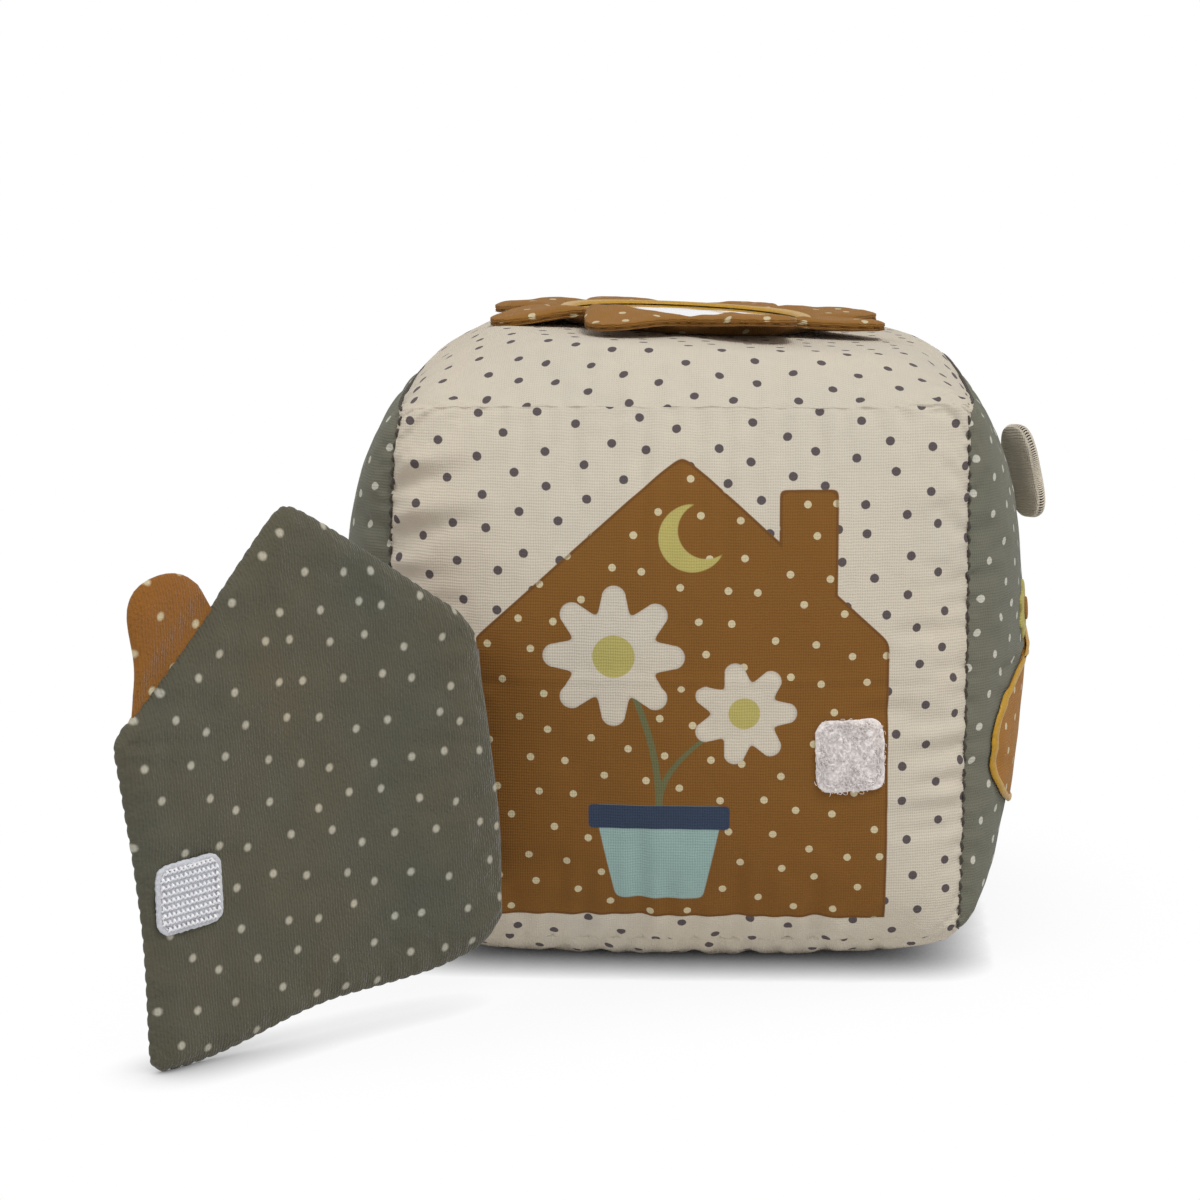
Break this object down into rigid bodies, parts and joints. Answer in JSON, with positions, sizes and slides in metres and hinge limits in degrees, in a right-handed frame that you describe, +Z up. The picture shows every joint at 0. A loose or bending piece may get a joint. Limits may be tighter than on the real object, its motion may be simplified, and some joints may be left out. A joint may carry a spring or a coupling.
{
  "type": "soft rattle cube",
  "caption": "Soft stuffed baby cube with a house-shaped fabric door held by hook and loop, a sun mirror on top, a leaf tab and a rattle capsule inside.",
  "frame": {"origin": "middle of the bottom panel's flat resting patch, on the floor, under the middle of the cube", "axes": "+X to the right with the house door facing the viewer, +Y from the door side to the back, +Z up"},
  "size_m": [0.199, 0.224, 0.1441],
  "materials": {
    "cream_cotton": "woven cotton with small dark grey-brown dots",
    "grey_green_cotton": "woven cotton with small cream dots",
    "green_velour": "ribbed knitted velour with small cream dots",
    "ochre_velour": "knitted velour with small cream dots",
    "sun_cotton": "brushed cotton",
    "gold_thread": "satin stitched embroidery thread",
    "yellow_cotton": "woven cotton",
    "cream_plush": "soft brushed cotton",
    "hook_tape": "rows of small nylon hooks",
    "loop_tape": "fuzzy nylon loops",
    "fibre_filling": "loose polyester fibre",
    "mirror_sheet": "silvered plastic sheet",
    "capsule_plastic": "moulded polypropylene",
    "bead_plastic": "moulded polypropylene"
  },
  "bodies": {
    "root": {"front_panel": "cream_cotton", "back_panel": "cream_cotton", "left_panel": "grey_green_cotton", "right_panel": "grey_green_cotton", "top_panel": "cream_cotton", "bottom_panel": "cream_cotton", "filling_lower": "fibre_filling", "filling_upper": "fibre_filling", "rattle_capsule_base": "capsule_plastic", "rattle_capsule_lid": "capsule_plastic", "hinge_fold": "green_velour", "loop_patch": "loop_tape", "pot_applique": "ochre_velour", "pot_border": "gold_thread", "flower_applique": "yellow_cotton", "flower_middle": "sun_cotton", "pot_foot_near": "cream_plush", "pot_foot_far": "cream_plush", "sun_face": "sun_cotton", "sun_back": "sun_cotton", "sun_wadding": "fibre_filling", "sun_mirror": "mirror_sheet", "mirror_ring": "gold_thread"},
    "door": {"door_face": "ochre_velour", "door_lining": "green_velour", "door_wadding": "fibre_filling", "chimney_tab": "ochre_velour", "hook_patch": "hook_tape"},
    "leaf": {"leaf_face": "cream_plush", "leaf_back": "cream_plush", "leaf_wadding": "fibre_filling"},
    "bead_1": {"rattle_bead_1": "bead_plastic"},
    "bead_2": {"rattle_bead_2": "bead_plastic"},
    "bead_3": {"rattle_bead_3": "bead_plastic"},
    "bead_4": {"rattle_bead_4": "bead_plastic"},
    "bead_5": {"rattle_bead_5": "bead_plastic"}
  },
  "joints": [
    {"name": "door_hinge", "type": "hinge", "parent": "root", "child": "door", "pos_m": [-0.039, -0.08198, 0.0128], "axis": [-0.0771, -0.0706, 0.9945], "range_deg": [-45, 142]},
    {"name": "leaf_hinge", "type": "hinge", "parent": "root", "child": "leaf", "pos_m": [0.0775, 0.008, 0.10462], "axis": [-0.205, 0, 0.9788], "range_deg": [-32, 110]},
    {"name": "bead_1_slide", "type": "slide", "parent": "root", "child": "bead_1", "axis": [0, 0, 1], "range_m": [0, 0.0208]},
    {"name": "bead_2_slide", "type": "slide", "parent": "root", "child": "bead_2", "axis": [0, 0, 1], "range_m": [0, 0.0208]},
    {"name": "bead_3_slide", "type": "slide", "parent": "root", "child": "bead_3", "axis": [0, 0, 1], "range_m": [0, 0.0208]},
    {"name": "bead_4_slide", "type": "slide", "parent": "root", "child": "bead_4", "axis": [0, 0, 1], "range_m": [0, 0.0208]},
    {"name": "bead_5_slide", "type": "slide", "parent": "root", "child": "bead_5", "axis": [0, 0, 1], "range_m": [0, 0.0208]}
  ]
}
